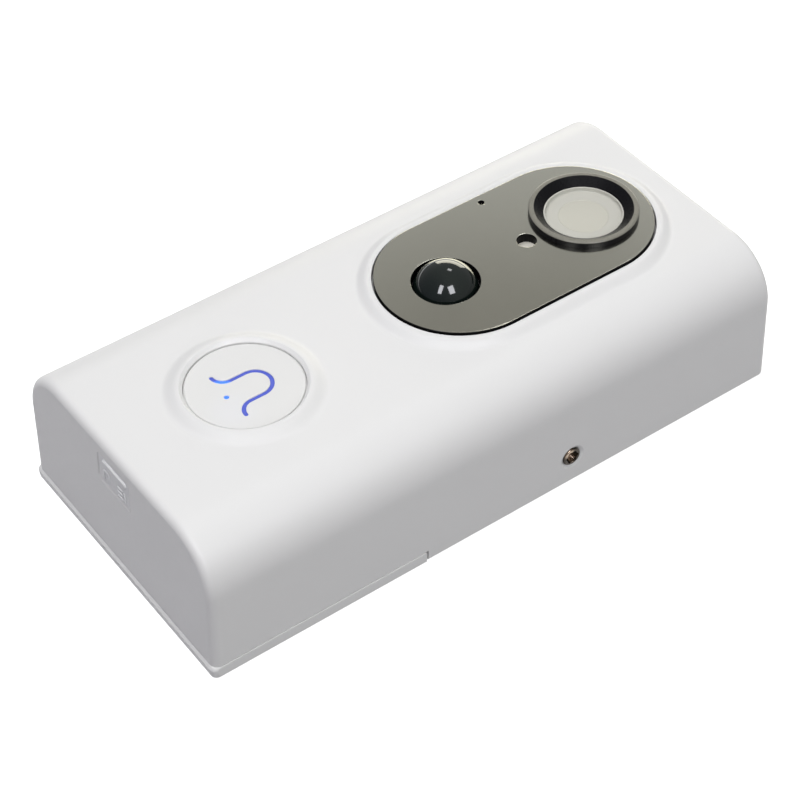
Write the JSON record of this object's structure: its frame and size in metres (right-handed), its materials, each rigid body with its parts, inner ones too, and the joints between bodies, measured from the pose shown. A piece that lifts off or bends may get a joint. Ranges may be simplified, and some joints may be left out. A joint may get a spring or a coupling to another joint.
{
  "type": "video doorbell",
  "caption": "Battery video doorbell with a call button, motion sensor dome, camera behind a film disc, sliding battery door and screw-locked wall bracket.",
  "frame": {"origin": "centre of the back face, where the doorbell lies or meets the wall", "axes": "+Z out of the front face, +X towards the camera end (up on a wall), -Y towards the side with the security screw"},
  "size_m": [0.1406, 0.068, 0.0385],
  "materials": {
    "white_plastic": "satin",
    "grey_plastic": "satin",
    "white_rubber": "soft matte",
    "panel_grey": "smooth, dark silver-grey",
    "black_plastic": "satin",
    "dark_dome": "polished, dark smoke",
    "clear_glass": "clear",
    "cream_film": "milky",
    "blue_light": "translucent, lit from below",
    "led_package": "clear resin",
    "seal_rubber": "matte",
    "screw_steel": "machined",
    "circuit_board": "solder mask",
    "flat_cable": "polyimide",
    "shield_metal": "plated",
    "chip_black": "moulded",
    "spring_steel": "nickel plated",
    "cell_wrap": "shrink wrap",
    "label_paper": "satin label film, blank"
  },
  "bodies": {
    "housing": {"front_cover": "white_plastic", "rear_housing": "grey_plastic", "housing_gasket": "seal_rubber", "housing_screws": "screw_steel", "wall_bracket": "grey_plastic", "security_screw": "screw_steel", "front_panel": "panel_grey", "panel_tape": "seal_rubber", "lens_ring": "black_plastic", "lens_window": "clear_glass", "lens_film": "cream_film", "ir_board": "circuit_board", "ir_leds": "led_package", "lens_barrel": "black_plastic", "lens_holder": "black_plastic", "image_sensor": "chip_black", "camera_pcb": "circuit_board", "camera_flex": "flat_cable", "pir_lens": "dark_dome", "pir_sensor": "shield_metal", "pir_pcb": "circuit_board", "light_pipe": "cream_film", "light_sensor": "chip_black", "mic_boot": "black_plastic", "microphone": "shield_metal", "button_spring": "spring_steel", "button_switch": "shield_metal", "button_leds": "led_package", "button_pcb": "circuit_board", "button_flex": "flat_cable", "usb_port": "shield_metal", "usb_pcb": "circuit_board", "usb_flex": "flat_cable", "reset_switch": "shield_metal", "battery_left": "cell_wrap", "battery_right": "cell_wrap", "battery_springs": "spring_steel", "battery_contacts": "spring_steel", "battery_wires": "flat_cable", "main_pcb": "circuit_board", "soc_shield": "shield_metal", "wifi_module": "shield_metal", "pcb_components": "chip_black", "antenna": "spring_steel", "pcb_screws": "screw_steel", "speaker": "black_plastic", "speaker_gasket": "seal_rubber"},
    "call_button": {"button_cap": "white_plastic", "bell_symbol": "blue_light"},
    "switch_plunger": {"button_plunger": "black_plastic"},
    "charging_flap": {"usb_cover": "white_rubber"},
    "reset_pin": {"reset_plunger": "black_plastic"},
    "door": {"battery_door": "white_plastic", "door_label": "label_paper"}
  },
  "joints": [
    {"name": "button_press", "type": "slide", "parent": "housing", "child": "call_button", "axis": [0, 0, -1], "range_m": [0, 0.0006], "stiffness_N_per_m": 1500, "springref_m": -0.0006, "deforming": ["button_spring"]},
    {"name": "switch_press", "type": "slide", "parent": "housing", "child": "switch_plunger", "axis": [0, 0, -1], "range_m": [0, 0.0006]},
    {"name": "flap_hinge", "type": "hinge", "parent": "housing", "child": "charging_flap", "pos_m": [-0.0688, 0, 0.02265], "axis": [0, -1, 0], "range_deg": [0, 90]},
    {"name": "reset_press", "type": "slide", "parent": "housing", "child": "reset_pin", "axis": [1, 0, 0], "range_m": [0, 0.0003], "stiffness_N_per_m": 2000, "springref_m": -0.0005},
    {"name": "door_slide", "type": "slide", "parent": "housing", "child": "door", "axis": [-1, 0, 0], "range_m": [0, 0.029]}
  ],
  "couplings": [
    {"joint": "switch_press", "follows": "button_press", "ratio": 1}
  ]
}
